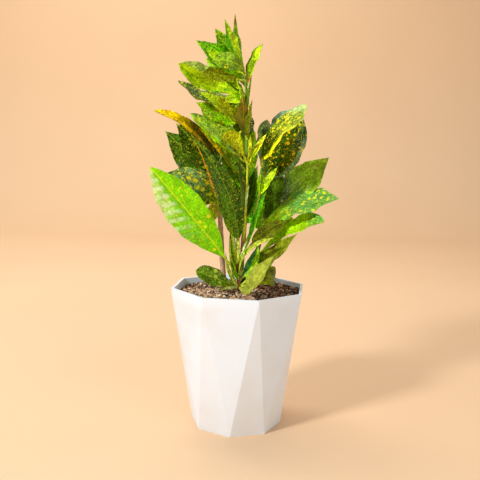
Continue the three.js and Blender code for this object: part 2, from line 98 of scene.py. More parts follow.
LEAVES = {}
LEAVES["tall_shoot"] = [
    leaf(378, (-11, 6, 441), 15, -5, -20, 22, 0.1, "leaf", tip_tint="brown", dots=1.0, spot="lime"),
    leaf(385, (-21, -14, 431), 20, -4, -75, 15, 0.15, "vivid", right="lime", dots=0.5, spot="acid"),
    leaf(382, (-32, 11, 426), 20, -1, -55, 15, 0.15, "green", belly=0.44, dots=1.0, blots=0.3,
         spot="acid"),
    leaf(381, (-50, -16, 409), 30, -2, -65, 12, 0.08, "grass", dots=0.6, spot="acid"),
    leaf(372, (-42, 16, 396), 26, -3, -50, 15, 0.1, "bright", dots=0.5, spot="acid"),
    # Its celery rim on its right half, towards the tip, is a painted highlight
    leaf(355, (-66, -30, 384), 26, -1, -98, 22, 0.15, "lime", shade=1.1, sway=-15, belly=0.6, skew=-0.2,
         rim="celery", rim_side=-1, rim_width=0.5, rim_from=0.4, dots=0.4, blots=0.3, spot="vivid",
         veins=0.5, mottle=0.7),
    leaf(371, (-42, -31, 374), 16, 3, -72, 8, 0.15, "olive", shade=1.15, sway=-5, belly=0.51, dots=1.0,
         blots=0.4, spot="acid"),
    leaf(336, (-71, 17, 372), 31, -6, -20, 15, 0.15, "dark", sway=3, belly=0.55, dots=0.9, blots=0.3,
         spot="acid"),
    leaf(321, (-46, -24, 357), 20, 3, -60, 15, 0.15, "khaki", tip_tint="lime", tip_from=0.5, dots=0.6,
         blots=0.3, spot="acid", veins=0.5),
    leaf(353, (-20, -26, 346), 14, 3, -60, 15, 0.15, "lime", tip_tint="acid", dots=0.4, spot="forest"),
    leaf(285, (-54, -26, 335), 20, -2, -60, 16, 0.2, "bright", sway=4, belly=0.62, right="leaf",
         dots=0.5, blots=0.3, spot="acid", vein="cream", veins=0.4),
    leaf(262, (-44, -32, 320), 9, 0, -50, 20, 0.2, "gold", foot="leaf", foot_to=0.6, rim="orange",
         rim_side=1, dots=0.3, spot="brown"),
    leaf(326, (-51, 14, 349), 25, -1, -60, 15, 0.15, "grass", shade=1.1, dots=1.1, blots=0.6,
         spot="acid"),
    leaf(274, (-46, 4, 344), 28, 2, -70, 12, 0.15, "leaf", foot="forest", foot_to=0.5, dots=0.9,
         blots=0.6, spot="acid"),
    leaf(335, (-8, -12, 372), 14, -1, -60, 12, 0.15, "lime"),
    leaf(366, (19, 3, 410), 20, 1, 35, 24, 0.1, "lime", sway=7, belly=0.54, foot="orange", foot_to=0.2,
         rim="moss", rim_side=1, rim_width=0.25, dots=0.4),
    leaf(312, (-1, -12, 358), 15, -3, 40, 20, 0.1, "brown", foot="maroon", dots=0.3, spot="olive"),
    leaf(309, (9, -4, 352), 15, -2, 40, 20, 0.1, "olive", shade=1.3, tip_tint="maroon", dots=0.8,
         spot="gold"),
    leaf(339, (8, -3, 378), 12, -1, 50, 20, 0.1, "moss", shade=1.3, dots=0.6, spot="acid"),
    leaf(324, (-8, -22, 280), 34, -1, -64, 15, 0.15, "khaki", shade=1.15, sway=-12, belly=0.36,
         foot="acid", foot_to=0.3, tip_tint="forest", tip_from=0.5, dots=0.4, spot="acid"),
    # A near-black leaf inside the plant: its night tint is painted shade
    leaf(214, (-5, -10, 298), 17, 0, -50, 15, 0.2, "night", shade=1.5),
    leaf(218, (17, 6, 284), 17, 0, 60, 15, 0.15, "dark", shade=1.7, dots=0.6, spot="leaf"),
    leaf(212, (21, 15, 266), 28, 1, 75, 10, 0.15, "grass", shade=1.2, dots=0.5, spot="deep"),
    leaf(224, (2, 44, 286), 32, 4, 0, 12, 0.15, "dark", dots=0.5),
    leaf(246, (-8, 34, 306), 30, 4, 0, 12, 0.15, "grass", dots=0.8, blots=0.4),
    leaf(262, (-2, 36, 322), 28, 4, 0, 12, 0.15, "grass", shade=1.2, dots=0.8, blots=0.4),
    leaf(284, (-6, 42, 336), 28, 5, 0, 12, 0.15, "bright", shade=1.1, dots=0.8, blots=0.4),
    leaf(258, (-23, 8, 306), 26, 0, -60, 12, 0.15, "forest", dots=0.6, spot="khaki"),
    leaf(352, (-28, 12, 384), 16, 0, -50, 15, 0.15, "lime", shade=1.3, dots=0.4, spot="forest"),
    leaf(378, (-39, -18, 399), 15, 0, -98, 12, 0.1, "lime", sway=1, belly=0.5, right="bright",
         veins=0.5),
    leaf(374, (-32, -29, 388), 18, 5, -85, 8, 0.15, "leaf", shade=0.9, sway=10, belly=0.66, foot="olive",
         dots=0.2, spot="gold", veins=0.5),
]
LEAVES["left_shoot"] = [
    leaf(252, (-90, -40, 336), 18, 21, -56, 15, 0.15, "bronze", sway=4, belly=0.56, left="gold",
         left_from=0.42, tip_tint="gold", tip_from=0.55, rim="orange", rim_side=1, rim_width=0.16,
         dots=0.5, spot="orange"),
    leaf(246, (-85, 22, 318), 38, 4, -85, 12, 0.15, "forest", shade=0.7, dots=0.6, spot="khaki"),
    leaf(270, (-72, 12, 326), 36, 2, -80, 12, 0.15, "forest", shade=0.4, dots=0.9, blots=0.2,
         spot="khaki"),
    leaf(235, (-87, -9, 265), 44, 8, -98, 22, 0.15, "sage", sway=20, belly=0.51, foot="moss",
         foot_to=0.6, dots=0.6, blots=1.0),
    leaf(256, (-36, 2, 213), 24, -2, 0, 12, 0.15, "khaki", shade=1.3, dots=0.5, spot="straw"),
]
LEAVES["right_shoot"] = [
    # Its slate left half, left plain, is painted shade on the half turned from the light; its mint tip is
    # a painted sheen
    leaf(281, (63, 1, 349), 50, 0, 50, 4, 0.15, "moss", sway=-34, belly=0.58, skew=-0.4, left="slate",
         split=0.45, foot="deep", foot_to=0.62, foot_from=0.38, tip_tint="mint", tip_from=0.74,
         rim="acid", rim_side=-1, rim_width=0.2, rim_to=0.6, plain=1, dots=1.2, blots=0.9,
         dots_from=0.4),
    leaf(261, (67, 30, 335), 41, -1, 56, 20, 0.15, "forest", shade=0.55, sway=-15, rim="mint",
         rim_side=-1, rim_width=0.3, rim_to=0.65, dots=0.4, blots=0.3, spot="gold"),
    leaf(236, (92, -4, 294), 41, -3, 77, 19, 0.15, "leaf", shade=1.5, sway=18, belly=0.45, foot="slate",
         dots=0.4, blots=0.12, spot="sand", mottle=0.7),
    leaf(218, (103, -16, 251), 47, 8, 35, 2, 0.1, "jade", sway=-2, belly=0.49, skew=0.06, foot="bright",
         foot_to=0.45, dots=0.6, blots=0.4, spot="acid", vein="mint", mottle=0.6),
    leaf(216, (46, 14, 283), 30, 2, 85, 12, 0.15, "moss", shade=0.9, dots=0.5, spot="deep", veins=0.1),
    leaf(207, (63, 30, 222), 28, 6, 50, 10, 0.15, "lime"),
    # Its slate tint is painted shade, matching the painted shade on the first leaf's left half
    leaf(262, (26, 18, 333), 28, 0, 30, 12, 0.15, "slate", shade=1.4, belly=0.66, dots=0.6, spot="acid"),
    leaf(207, (11, 15, 242), 14, 0, 50, 12, 0.15, "fresh"),
]
LEAVES["front_shoot"] = [
    # Its celery rim near the tip on its left is a painted highlight, and its pale bands are partly a
    # painted sheen
    leaf(164, (-94, -32, 280), 43, 1, -98, 18, 0.19, "fresh", sway=8, belly=0.53, skew=0.06,
         rim="celery", rim_side=1, rim_width=0.6, rim_from=0.6, dots=0.16, blots=0.1, spot="acid",
         vein="acid", veins=0.7, bands=0.7, mottle=0.4),
    leaf(151, (-46, -22, 172), 23, 0, -54, 12, 0.1, "moss", shade=0.75, sway=3, belly=0.66, dots=0.6,
         blots=0.4, spot="straw", veins=0.3),
    leaf(151, (35, -38, 192), 23, -16, 66, 20, 0.05, "straw", shade=0.8, sway=-16, belly=0.66, skew=0.34,
         rim="orange", rim_side=-1, rim_width=0.05, vein="pale", veins=0.3, dots=0.2, blots=0.3,
         spot="khaki", mottle=0.5),
    leaf(150, (40, 20, 156), 23, 11, 71, 14, 0.1, "olive", shade=0.9, sway=-14, belly=0.65, dots=0.4,
         spot="khaki"),
    leaf(163, (87, -26, 227), 26, 10, 30, 22, 0.25, "bright", shade=1.1, sway=18, belly=0.66, skew=0.35,
         tip_tint="jade", dots=0.6, blots=0.3, spot="acid", mottle=0.7),
    leaf(169, (57, 4, 226), 17, 14, 74, 12, 0.4, "olive", shade=0.8, sway=-5, belly=0.35, skew=-0.25,
         dots=0.3, spot="khaki"),
    leaf(177, (-53, -40, 315), 27, 8, -98, 14, 0.2, "dark", shade=1.15, sway=18, belly=0.36, skew=0.22,
         left="forest", left_to=0.45, rim="orange", rim_side=1, rim_from=0.5, rim_width=0.1, dots=0.45,
         spot="khaki", veins=0.2),
    leaf(170, (26, -20, 257), 10, 0, 60, 20, 0.35, "vivid", shade=0.8, rim="lime", rim_side=-1),
    leaf(173, (-12, -16, 236), 6, 0, -60, 20, 0.3, "pale", shade=0.8),
    leaf(179, (-6, -18, 250), 6, 0, -60, 20, 0.3, "pale", shade=0.8),
    leaf(152, (61, -12, 213), 31, -1, 30, 14, 0.15, "olive", sway=1, foot="moss", dots=0.4,
         spot="straw"),
    leaf(153, (36, -24, 209), 7, 14, 50, 12, 0.15, "straw", sway=-4, belly=0.55),
    leaf(149, (-15, -4, 190), 4, -4, -60, 12, 0.1, "straw"),
    leaf(150, (-10, -14, 206), 7, -6, -60, 20, 0.2, "straw"),
    leaf(158, (20, -3, 199), 13, -4, 60, 12, 0.15, "bright", left="sea"),
    leaf(163, (9, -12, 207), 10, 0, 60, 20, 0.2, "fresh", left="pale"),
    leaf(149, (11, 0, 169), 8, 0, 60, 15, 0.15, "deep"),
    leaf(158, (-8, -14, 182), 8, 0, -50, 15, 0.15, "bright", dots=0.5, spot="forest"),
    leaf(150, (-11, 2, 214), 13, 0, -30, 12, 0.15, "acid", left="green"),
    leaf(152, (-19, -31, 153), 10, 2, -30, 12, 0.15, "sand", shade=0.6, right="olive"),
]
LEAVES["young_left"] = [
    leaf(284, (-8, -28, 314), 6, 0, -60, 20, 0.1, "acid"),
    leaf(289, (8, -26, 315), 6, 0, -60, 20, 0.1, "acid", shade=0.8),
    leaf(286, (25, -16, 317), 8, 0, 60, 20, 0.1, "acid", foot="bright"),
    leaf(281, (16, -30, 304), 6, 0, 60, 20, 0.1, "acid", shade=0.8),
    leaf(238, (8, -18, 263), 7, 0, 60, 20, 0.1, "pale"),
]
LEAVES["young_right"] = [
    leaf(251, (21, -12, 284), 12, 0, 60, 20, 0.1, "bright"),
    leaf(251, (38, -10, 283), 11, 0, 60, 20, 0.1, "lime", shade=0.9),
]
# Leaves on the far side, spread up each stem by a rule. Heights and lengths run from the first value
# to the second, and azimuths, in degrees, lie between the two.
BACK_LEAVES = {
    "tall_shoot": dict(count=8, heights=(306, 374), azimuths=(100, 165), lengths=(72, 44), seed=3),
    "left_shoot": dict(count=5, heights=(236, 292), azimuths=(112, 160), lengths=(78, 62), seed=5),
    "right_shoot": dict(count=5, heights=(212, 286), azimuths=(45, 85), lengths=(78, 62), seed=7),
}
# What they share: how steeply they rise, the step in azimuth from one to the next as a share of the
# range, sizes as shares of their length, and how much the length, rise and roll vary at random
BACK_RISE = 38
GOLDEN_TURN = 0.382
BACK_WIDTH_SHARE = 0.36
BACK_ARCH_SHARE = 0.06
BACK_FOLD = 14
BACK_STALK = 0.14
LENGTH_SPREAD = 0.2
RISE_SPREAD = 24
ROLL_SPREAD = 50
BACK_TINTS = ("dark", "green", "moss", "fresh", "olive")
BACK_SPOTS = ("yellow", "gold", "yellow", "orange", "gold")

# A blade's outline: the sum of the powers that shape its two ends, and its half width at the tip
BLADE_POWER = 2.05
TIP_HALF_WIDTH = 0.12
# A stalk's radius grows with the blade's width, up to a limit, and it has a thickness at its edges
SLIMMEST_STALK = 0.55
STALK_PER_WIDTH = 0.03
THICKEST_STALK = 1.2
STALK_EDGE_THICKNESS = 0.12
# The shares of the blade over which the round stalk flattens and the fold opens
STALK_FADE = 0.2
FOLD_START = 0.25
# Waves along a blade: how many, their height as a share of the width, and the halves' shift
WAVES = 2.5
WAVE_SHARE = 0.05
WAVE_SHIFT = 0.6 * np.pi
# A finer flutter towards the edges
FLUTTERS = 7
FLUTTER_SHARE = 0.012
# Ripples of a blade's edge: how many, and their depth as a share of the half width
RIPPLES = 5
RIPPLE_SHARE = 0.02
FINE_RIPPLES = 11
FINE_RIPPLE_SHARE = 0.012
# Side veins: the least step between two, the most that a leaf has along it, and their slant
LEAST_VEIN_STEP = 2.6
MOST_VEINS = 15
VEIN_SLANT = 0.55
# How far the blade bulges between veins, and how wide a leaf is for the bulge to be full
QUILT = 0.22
QUILTED_WIDTH = 20
# How fast the ripples and bulges grow from the blade's foot
RIPPLE_GROWTH = 6
QUILT_GROWTH = 4
# The blade's thickness at its edge, what it gains towards the midrib, and how much of that its tip has
EDGE_THICKNESS = 0.16
MIDDLE_THICKNESS = 0.34
THIN_TIP = 0.4
# The midrib's half width, the depth of its groove above and the height of its ridge below
RIB_HALF_WIDTH = 0.7
RIB_GROOVE = 0.12
RIB_RIDGE = 0.45
# The mesh's step along and across a leaf and along a stem, and the fewest and most rings of a blade
# and points across it. A power under 1 crowds the points towards the edges.
MESH_STEP = 1.6
BLADE_RINGS = (18, 80)
BLADE_POINTS = (7, 27)
STALK_RINGS = 8
EDGE_CROWDING = 0.9
FEWEST_STEM_RINGS = 8
CANE_SIDES = 20
SHOOT_SIDES = 14
# Canes swell at their old leaf scars, and every stem's surface is uneven, by shares of the radius
SCAR_STEP = 11.0
SCAR_SWELL = 0.07
SCAR_SPREAD = 0.12
STEM_SHARE = 0.97
STEM_ROUGHNESS = 0.05
ROUGHNESS_STEP = 6
# How far the surface pattern of one leaf lies from the next one's
PATTERN_STEP = 211.0
# What the UV map's rectangles shrink by until they fit
ISLAND_SHRINK = 0.985

# Shares of a blade that lie before its foot and beyond its tip
BEFORE = -1
BEYOND = 2
# The look of a leaf whose row doesn't say otherwise
USUAL_LOOK = dict(
    split=0.0, left_from=BEFORE, left_to=BEYOND, foot_from=0.1, foot_to=0.55, tip_from=0.7, rim_side=1,
    rim_width=0.14, rim_from=BEFORE, rim_to=BEYOND, dots=0, blots=0, dots_from=BEFORE, spot="yellow",
    bands=0, vein="lime", veins=0.25, mottle=1.0,
)
# How softly one colour of a leaf gives way to the next, as shares of the blade or its half width
SOFT = 0.1
RIM_FADE = 0.08
TIP_BLEND = 0.2
DOTS_BLEND = 0.15
# The share of its spots that a leaf has before dots_from
EARLY_DOTS = 0.25
# How far along the stalk its own colour starts to fade
STALK_COLOUR_FADE = 0.8

# The planter and its soil
POT_SIDES = 8
RIM_RADIUS = 75
RIM_TURN = 61
SOIL_RADIUS = 69.5
SOIL_TOP = 144.5
SOIL_MOUND = 2.5
SOIL_TILT = 0.025
# In metres: how close the planter's points are when they are welded, and how its edges are softened
WELD_DISTANCE = 1e-6
BEVEL_WIDTH = 0.0009
BEVEL_STEPS = 4
# Angles up to which two of its faces are one, its edges stay hard, and a leaf is shaded smooth
FLAT_ANGLE = math.radians(0.5)
BEVEL_ANGLE = math.radians(6)
SMOOTH_ANGLE = math.radians(60)

# Layers of chips: the step between chips, their least and most half length, and how far they are
# raised. They are set out this far from the middle, and cut off at the wall.
CHIP_LAYERS = (
    (4.2, 1.9, 3.3, 0.1),
    (4.6, 1.5, 2.8, 1.6),
    (3.6, 0.8, 1.5, 2.2),
)
CHIP_FIELD = 70
# Pale chips prevail at the front left, up to this far right and back: painted sunlight on the soil
LIT_RIGHT = 18
LIT_BACK = 8
# A chip's height and depth as shares of its length, and how far it tilts and leans, in radians
CHIP_FLATNESS = (0.35, 0.7)
CHIP_SLIMNESS = (0.5, 0.9)
CHIP_TILT = 0.45
CHIP_LEAN = 0.35
# How blocky and dented a chip is, how far its dents' places spread, the share of its half length that
# it keeps from the wall, and how its height and colour vary
CHIP_BLOCKINESS = 0.75
DENT_DEPTH = 0.55
DENT_SCALE = 1.3
DENT_FIELD = 99
WALL_CLEARANCE = 0.8
CHIP_RAISE = (0.4, 1.0)
CHIP_SHADE = (0.75, 1.2)

# The floor, in metres: where it starts, sweeps up behind the plant and ends
FLOOR_FRONT = -3.0
SWEEP_START = 1.6
SWEEP_RADIUS = 0.8
SWEEP_ANGLES = (0.05, math.pi / 2)
SWEEP_STEPS = 16
BACKDROP_TOP = 4.0
BACKDROP_SIDE = 4.0

# The camera's lens and sensor in millimetres, its place in metres and its turns in degrees
LENS = 48.75
SENSOR = 36.0
CAMERA_PLACE = (0.0, -0.699, 0.295)
CAMERA_TILT = 7.52
CAMERA_ROLL = 1.46
# What the lights on the plant point at, and the light from all around
MIDDLE = (0, 0, 0.2)
SKY_COLOUR = (0.92, 0.96, 1.0, 1.0)
SKY_STRENGTH = 0.34

# The range that most of a noise's values lie in
NOISE_LOW = 0.3
NOISE_HIGH = 0.7


def linear(text):
    """The linear colour of an sRGB hex code."""
    parts = [int(text[k:k + 2], 16) / 255 for k in (1, 3, 5)]
    return np.array([p / 12.92 if p <= 0.04045 else ((p + 0.055) / 1.055) ** 2.4 for p in parts])


def rgba(colour):
    """A linear colour as a node takes it."""
    return (*[float(c) for c in colour], 1.0)


def tone(text):
    """An sRGB hex code as a node takes it."""
    return rgba(linear(text))


COLOUR = {name: linear(text) for name, text in PALETTE.items()}
CHIP_COLOURS = [linear(c) for c in ("#d8b088", "#f0d4ac", "#b8865c", "#8c5c3c", "#543420", "#301c12")]
# How often each of these colours comes among the chips of the painted sunlit patch, and among the other
# chips
LIT_CHIPS = (8, 6, 4, 2, 2, 1)
OTHER_CHIPS = (2, 1, 4, 5, 5, 5)
# The light and dark colours of each cane's bark, and of its foot, which on the centre cane is painted
# shade
BARKS = {
    "centre_cane": ("#d4987a", "#96644c", "#2a1810"),
    "left_cane": ("#ecc09c", "#b48866", "#c89c7c"),
    "right_cane": ("#a58468", "#5f4634", "#3a281c"),
}


class Tree:
    """A material's node tree, built by short calls that take and give sockets."""

    def __init__(self, name):
        self.material = bpy.data.materials.new(name)
        self.material.use_nodes = True
        self.tree = self.material.node_tree
        self.shader = self.tree.nodes["Principled BSDF"]

    def node(self, kind, inputs, **settings):
        """A new node with these settings and inputs, whose values may be sockets."""
        node = self.tree.nodes.new(kind)
        for name, value in settings.items():
            setattr(node, name, value)
        for name, value in inputs.items():
            self.put(node.inputs[name], value)
        return node

    def add(self, kind, inputs, output=0, **settings):
        """One output of a new node."""
        return self.node(kind, inputs, **settings).outputs[output]

    def put(self, socket, value):
        """Links a socket to another one, or sets its value."""
        if isinstance(value, bpy.types.NodeSocket):
            self.tree.links.new(value, socket)
        else:
            socket.default_value = value

    def attribute(self, name, output="Color"):
        return self.add("ShaderNodeAttribute", {}, output, attribute_name=name)

    def object_place(self):
        return self.add("ShaderNodeTexCoord", {}, "Object")

    def math(self, operation, *values):
        return self.add("ShaderNodeMath", dict(enumerate(values)), operation=operation)

    def step(self, value, low, high, to_low=0.0, to_high=1.0):
        """A value's range from low to high, taken smoothly to another range."""
        inputs = {"Value": value, "From Min": low, "From Max": high, "To Min": to_low, "To Max": to_high}
        return self.add("ShaderNodeMapRange", inputs, interpolation_type="SMOOTHSTEP")

    def stretch(self, noise, to_low=0.0, to_high=1.0):
        """A noise's usual range, taken smoothly to another range."""
        return self.step(noise, NOISE_LOW, NOISE_HIGH, to_low, to_high)

    def split(self, vector):
        return self.node("ShaderNodeSeparateXYZ", {0: vector}).outputs

    def plane(self, x, y):
        return self.add("ShaderNodeCombineXYZ", {"X": x, "Y": y})

    def noise(self, vector, scale, detail, roughness=0.55, output="Fac"):
        inputs = {"Vector": vector, "Scale": scale, "Detail": detail, "Roughness": roughness}
        return self.add("ShaderNodeTexNoise", inputs, output)

    def cells(self, vector, scale, dimensions="3D"):
        """A pattern of cells: the distance from a cell's centre, and a colour for each cell."""
        inputs = {"Vector": vector, "Scale": scale}
        node = self.node("ShaderNodeTexVoronoi", inputs, voronoi_dimensions=dimensions)
        return node.outputs["Distance"], node.outputs["Color"]

    def mix(self, factor, first, second, blend="MIX"):
        inputs = {0: factor, 6: first, 7: second}
        return self.add("ShaderNodeMix", inputs, 2, data_type="RGBA", blend_type=blend)

    def shaded(self, colour, shade):
        """A colour multiplied by a shade."""
        grey = self.add("ShaderNodeCombineXYZ", {"X": shade, "Y": shade, "Z": shade})
        return self.mix(1.0, colour, grey, "MULTIPLY")

    def bump(self, height, distance, strength):
        inputs = {"Height": height, "Distance": distance, "Strength": strength}
        return self.add("ShaderNodeBump", inputs)

    def finish(self, **sockets):
        """Sets the shader's inputs and gives the finished material."""
        for name, value in sockets.items():
            self.put(self.shader.inputs[name.replace("_", " ")], value)
        return self.material


def leaf_spots(t, place, dots, blots, cluster):
    """Where a leaf's fine dots, larger dots and blots lie."""
    spots = None
    for scale, density, smallest, spread in (
        (0.75, t.math("MULTIPLY", dots, cluster), 0.1, 0.24),
        (0.36, t.math("MULTIPLY", dots, 0.6), 0.1, 0.26),
        (0.15, t.math("MULTIPLY", blots, cluster), 0.14, 0.24),
    ):
        distance, chance = t.cells(place, scale, "2D")
        pick, size, _ = t.split(chance)
        there = t.math("LESS_THAN", pick, density)
        radius = t.math("MULTIPLY_ADD", size, spread, smallest)
        inside = t.step(t.math("SUBTRACT", distance, radius), -0.07, 0.03, 1.0, 0.0)
        patch = t.math("MULTIPLY", there, inside)
        spots = patch if spots is None else t.math("MAXIMUM", spots, patch)
    return spots


def leaf_material():
    """A mottled tint with veins, pale bands between them, and spots of a second colour. The mottle is
    partly painted light and shade, and the bands partly a painted sheen.
    """
    t = Tree("leaf")
    along, across, vein_at = t.split(t.attribute("place", "Vector"))
    dots, blots, bands = t.split(t.attribute("look", "Vector"))
    flat = t.plane(along, across)
    shift = t.noise(flat, scale=0.45, detail=2.0, output="Color")
    warped = t.add("ShaderNodeVectorMath", {0: shift, 1: (1.6, 1.6, 0.0), 2: flat},
                   operation="MULTIPLY_ADD")

    # Mottle and grain vary the tone at random, strong enough to also paint the patchy light and shade of
    # hard light
    mottle = t.noise(flat, scale=0.11, detail=4.0)
    grain = t.step(t.noise(flat, scale=0.42, detail=4.0), 0.34, 0.66, 0.5, 1.55)
    shade = t.math("MULTIPLY", t.step(mottle, 0.32, 0.68, 0.55, 1.5), grain)
    shade = t.math("MULTIPLY_ADD", t.math("SUBTRACT", shade, 1.0), t.attribute("tint", "Alpha"), 1.0)
    colour = t.shaded(t.attribute("tint"), shade)

    from_vein = t.math("ABSOLUTE", t.math("SUBTRACT", t.math("FRACT", t.math("ADD", vein_at, 0.5)), 0.5))
    line = t.step(from_vein, 0.02, 0.1, 1.0, 0.0)
    band = t.step(from_vein, 0.12, 0.4, 0.0, 1.0)
    midrib = t.step(t.math("ABSOLUTE", across), 0.3, 0.9, 1.0, 0.0)
    uneven = t.step(t.noise(flat, scale=0.12, detail=3.0), 0.35, 0.65, 0.35, 1.0)
    # Pale bands between the veins: partly the leaf's pale pattern, partly a painted sheen
    pale = t.math("MULTIPLY", t.math("MULTIPLY", band, bands), uneven)
    colour = t.mix(pale, colour, rgba(COLOUR["cream"]))
    veins = t.math("MAXIMUM", midrib, t.math("MULTIPLY", line, 0.25))
    colour = t.mix(t.math("MULTIPLY", veins, t.attribute("vein", "Alpha")), colour, t.attribute("vein"))

    cluster = t.step(t.noise(flat, scale=0.07, detail=3.0), 0.38, 0.6, 0.3, 1.35)
    spots = leaf_spots(t, warped, dots, blots, cluster)
    colour = t.mix(t.math("MULTIPLY", spots, 0.92), colour, t.attribute("spot"))
    under = t.attribute("spot", "Alpha")
    colour = t.mix(t.math("MULTIPLY", under, 0.25), colour, rgba(COLOUR["underside"]))

    fine = t.noise(flat, scale=2.2, detail=3.0)
    roughness = t.math("MULTIPLY_ADD", under, 0.2, t.stretch(fine, 0.3, 0.46))
    height = t.math("MULTIPLY_ADD", line, -0.5, t.math("MULTIPLY", fine, 0.35))
    height = t.math("MULTIPLY_ADD", midrib, -0.6, height)
    height = t.math("MULTIPLY_ADD", spots, 0.12, height)
    return t.finish(Base_Color=colour, Roughness=roughness, Specular_IOR_Level=0.1,
                    Normal=t.bump(height, distance=0.0004, strength=0.7))


def stem_material():
    """Green stems, streaked along their length, with warm patches."""
    t = Tree("green_stem")
    along, around, _ = t.split(t.attribute("place", "Vector"))
    flat = t.plane(t.math("MULTIPLY", along, 0.25), around)
    streaks = t.noise(flat, scale=0.8, detail=4.0)
    colour = t.shaded(t.attribute("tint"), t.stretch(streaks, 0.55, 1.25))
    warm = t.step(t.noise(flat, scale=0.23, detail=2.0), 0.5, 0.7, 0.0, 0.6)
    colour = t.mix(warm, colour, rgba(COLOUR["brown"]))
    return t.finish(Base_Color=colour, Roughness=t.stretch(streaks, 0.42, 0.6),
                    Normal=t.bump(streaks, distance=0.0003, strength=0.6))


def bark_material(name, light, dark, foot):
    """Bark with streaks and blotches of two colours, pale pores, and a foot of a third colour."""
    t = Tree(name)
    along, around, _ = t.split(t.attribute("place", "Vector"))
    flat = t.plane(t.math("MULTIPLY", along, 0.22), around)
    streaks = t.noise(flat, scale=0.9, detail=5.0, roughness=0.65)
    colour = t.mix(t.step(streaks, 0.35, 0.65), tone(dark), tone(light))
    even = t.plane(along, around)
    blotches = t.step(t.noise(even, scale=0.16, detail=3.0), 0.45, 0.62, 0.0, 0.75)
    colour = t.mix(blotches, colour, tone(dark))
    distance, _ = t.cells(even, 0.35)
    pore = t.step(distance, 0.1, 0.2, 0.7, 0.0)
    colour = t.mix(pore, colour, tone("#c7a888"))
    # The cane takes its foot colour near the soil; on the centre cane this is painted shade
    low = t.step(along, 45.0, 70.0, 1.0, 0.0)
    colour = t.mix(t.math("MULTIPLY", low, 0.75), colour, tone(foot))
    height = t.math("MULTIPLY_ADD", pore, 0.5, streaks)
    return t.finish(Base_Color=colour, Roughness=t.stretch(streaks, 0.9, 0.68),
                    Normal=t.bump(height, distance=0.0006, strength=0.8))


def pot_material():
    """Matt white, slightly cloudy, with faint patches of dust below the rim."""
    t = Tree("pot")
    place = t.object_place()
    cloud = t.noise(place, scale=14.0, detail=4.0)
    grain = t.noise(place, scale=900.0, detail=3.0, roughness=0.7)
    swell = t.noise(place, scale=45.0, detail=2.0)
    height = t.split(place)[2]
    colour = t.mix(t.stretch(cloud), tone("#e6ecf3"), tone("#ecf2f8"))
    dust = t.math("MULTIPLY", t.step(height, 0.136, 0.149, 0.28, 0.0), t.step(cloud, 0.35, 0.7))
    colour = t.mix(dust, colour, tone("#cbb9a6"))
    roughness = t.math("MULTIPLY_ADD", grain, 0.12, t.stretch(cloud, 0.4, 0.52))
    bumps = t.math("MULTIPLY_ADD", swell, 1.5, t.math("MULTIPLY", grain, 0.12))
    return t.finish(Base_Color=colour, Roughness=roughness,
                    Normal=t.bump(bumps, distance=0.0004, strength=0.35))


def soil_material(name, chips):
    """Dark potting mix, or bark chips in their own tints."""
    t = Tree(name)
    place = t.object_place()
    coarse = t.noise(place, scale=260.0, detail=4.0, roughness=0.65)
    fine = t.noise(place, scale=1500.0, detail=3.0, roughness=0.7)
    shade = t.stretch(coarse, 0.55, 1.25)
    if chips:
        colour = t.shaded(t.attribute("tint"), shade)
    else:
        colour = t.mix(shade, tone("#1d110a"), tone("#40281a"))
    height = t.math("MULTIPLY_ADD", fine, 0.4, coarse)
    return t.finish(Base_Color=colour, Roughness=t.stretch(fine, 0.82, 1.0),
                    Normal=t.bump(height, distance=0.0006, strength=0.9))


def backdrop_material():
    """A warm, pale, matt surface."""
    t = Tree("backdrop")
    cloud = t.noise(t.object_place(), scale=1.5, detail=2.0)
    colour = t.mix(t.stretch(cloud), tone("#eac49b"), tone("#edc89f"))
    return t.finish(Base_Color=colour, Roughness=0.9)


def random_source(seed):
    """Seeded random numbers from 0 to 1, the same ones as the solids were made with."""
    state = seed
    while True:
        state = (state * 1664525 + 1013904223) % 2 ** 32
        yield state / 2 ** 32


def unit(vector):
    return vector / np.linalg.norm(vector)


def smooth(value, low, high):
    """0 at low and 1 at high, with a smooth rise between them. High may be the smaller one."""
    share = np.clip((value - low) / (high - low), 0, 1)
    return share * share * (3 - 2 * share)


def blend(colour, other, weight):
    return colour + (other - colour) * weight[..., None]


def turned(vector, axis, degrees):
    """The vector, at right angles to the axis, turned about it."""
    angle = math.radians(degrees)
    return vector * math.cos(angle) + np.cross(axis, vector) * math.sin(angle)


def stem_point(name, z):
    """The middle of a stem at the height z."""
    points = np.array(STEMS[name][0], float)
    return np.array([np.interp(z, points[:, 2], points[:, k]) for k in range(3)])


def stem_radius(name, z):
    points, radii = STEMS[name]
    return np.interp(z, (points[0][2], points[-1][2]), radii)


def back_leaves(name):
    """The rows of the leaves on the far side of a stem."""
    if name not in BACK_LEAVES:
        return []
    rule = BACK_LEAVES[name]
    draw = random_source(rule["seed"])
    rows = []
    for k in range(rule["count"]):
        share = k / (rule["count"] - 1)
        at = float(np.interp(share, (0, 1), rule["heights"]))
        azimuth = math.radians(float(np.interp((k * GOLDEN_TURN) % 1, (0, 1), rule["azimuths"])))
        length = float(np.interp(share, (0, 1), rule["lengths"]))
        length *= 1 - LENGTH_SPREAD / 2 + LENGTH_SPREAD * next(draw)
        rise = math.radians(BACK_RISE + RISE_SPREAD * (next(draw) - 0.5))
        roll = ROLL_SPREAD * (next(draw) - 0.5)
        out = length * math.cos(rise)
        offset = np.array([out * math.cos(azimuth), out * math.sin(azimuth), length * math.sin(rise)])
        rows.append(leaf(
            at, stem_point(name, at) + offset, BACK_WIDTH_SHARE * length, BACK_ARCH_SHARE * length, roll,
            BACK_FOLD, BACK_STALK, BACK_TINTS[k % len(BACK_TINTS)], dots=0.5, blots=0.2,
            spot=BACK_SPOTS[k % len(BACK_SPOTS)],
        ))
    return rows


